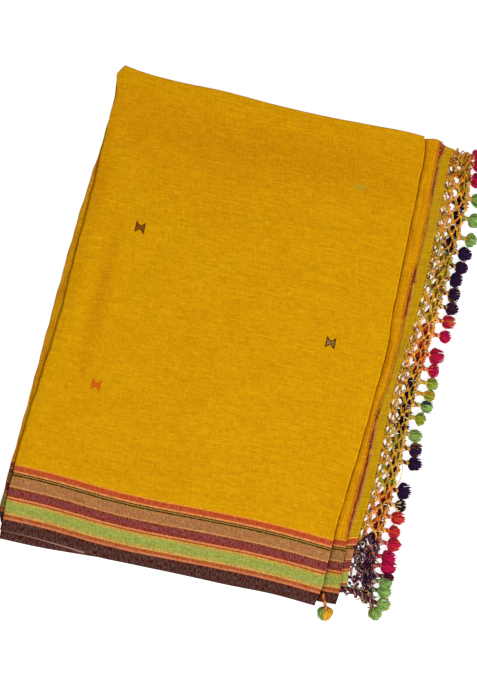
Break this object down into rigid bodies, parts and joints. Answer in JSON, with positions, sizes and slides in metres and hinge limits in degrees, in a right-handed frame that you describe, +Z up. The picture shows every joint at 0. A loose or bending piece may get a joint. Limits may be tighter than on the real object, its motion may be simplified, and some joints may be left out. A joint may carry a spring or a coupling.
{
  "type": "folded cotton saree with a knotted pompom fringe",
  "caption": "Handloom saree folded into a flat rectangular stack, with a striped border, a knotted net end and wool pompoms along one side.",
  "frame": {"origin": "middle of the bounds of the underside, on the surface that the folded saree lies on", "axes": "+X from the stack towards the pompoms, +Y from the selvedges up to the lengthwise fold, +Z up through the folds"},
  "size_m": [0.4904, 0.6003, 0.0202],
  "materials": {
    "yellow_cotton": "matt mustard-yellow handloom cotton, slubby plain weave, woven striped border along the selvedges",
    "pallu_cotton": "matt olive-yellow handloom cotton with a narrow maroon and brown weft band near its end",
    "fringe_yarn": "plied cotton cord in orange, yellow and brown, with fluffy wool pompoms in many colours",
    "tassel_wool": "fluffy orange-yellow wool with green sides, on a plied orange cord"
  },
  "bodies": {
    "root": {"bottom_panel": "yellow_cotton", "inner_folds": "yellow_cotton", "pallu_lower": "pallu_cotton", "pallu_upper": "pallu_cotton", "plain_end": "yellow_cotton", "under_panel": "yellow_cotton", "top_panel_lower_half": "yellow_cotton", "top_panel": "yellow_cotton", "fringe_lower": "fringe_yarn", "fringe_upper": "fringe_yarn", "corner_tassel": "tassel_wool"}
  },
  "joints": []
}
